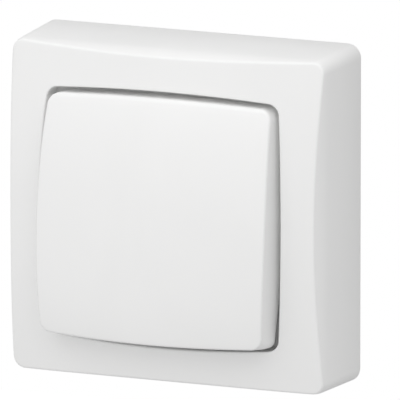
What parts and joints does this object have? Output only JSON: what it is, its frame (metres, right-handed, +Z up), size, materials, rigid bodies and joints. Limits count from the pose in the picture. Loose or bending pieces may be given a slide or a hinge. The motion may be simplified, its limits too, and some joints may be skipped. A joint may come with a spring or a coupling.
{
  "type": "surface mounted light switch",
  "caption": "Square surface mounted wall light switch: domed box cover, large domed rocker, and a rocking-contact mechanism on a screw-fixed base.",
  "frame": {"origin": "middle of the back of the base, on the wall plane", "axes": "the back faces +Y and lies on the wall, the rocker faces -Y, +Z is up, +X is to the right seen from the front"},
  "size_m": [0.08, 0.0345, 0.08],
  "materials": {
    "cover_plastic": "gloss white moulding",
    "rocker_plastic": "gloss white moulding",
    "base_plastic": "satin white moulding",
    "carrier_plastic": "satin light grey moulding",
    "housing_plastic": "satin pale grey moulding",
    "natural_nylon": "natural",
    "insulator": "matt dark",
    "screw_steel": "zinc plated",
    "spring_steel": "drawn wire",
    "strip_brass": "stamped strip",
    "contact_silver": "silver rivet"
  },
  "bodies": {
    "base": {"base_plate": "base_plastic", "outer_cover": "cover_plastic", "cover_screws": "screw_steel", "mechanism_housing": "housing_plastic", "mechanism_back": "insulator", "mechanism_screws": "screw_steel", "common_strip": "strip_brass", "upper_contact_strip": "strip_brass", "lower_contact_strip": "strip_brass", "upper_fixed_tip": "contact_silver", "lower_fixed_tip": "contact_silver", "common_clamp_plate": "screw_steel", "upper_clamp_plate": "screw_steel", "lower_clamp_plate": "screw_steel", "common_terminal_screw": "screw_steel", "upper_terminal_screw": "screw_steel", "lower_terminal_screw": "screw_steel"},
    "rocker": {"rocker_cap": "rocker_plastic", "rocker_carrier": "carrier_plastic", "plunger_spring": "spring_steel"},
    "plunger": {"plunger": "natural_nylon"},
    "contact": {"contact_blade": "strip_brass", "moving_contact_tips": "contact_silver"}
  },
  "joints": [
    {"name": "rocker_tilt", "type": "hinge", "parent": "base", "child": "rocker", "pos_m": [0, -0.02, 0], "axis": [1, 0, 0], "range_deg": [0, 9.6]},
    {"name": "contact_rock", "type": "hinge", "parent": "base", "child": "contact", "pos_m": [0, -0.0099, 0], "axis": [1, 0, 0], "range_deg": [-16.8, 0]},
    {"name": "plunger_slide", "type": "slide", "parent": "rocker", "child": "plunger", "axis": [0, -0.9965, 0.0837], "range_m": [0, 0.0012], "stiffness_N_per_m": 250, "springref_m": -0.003, "deforming": ["plunger_spring"]}
  ],
  "couplings": [
    {"joint": "contact_rock", "follows": "rocker_tilt", "ratio": -1.75}
  ]
}
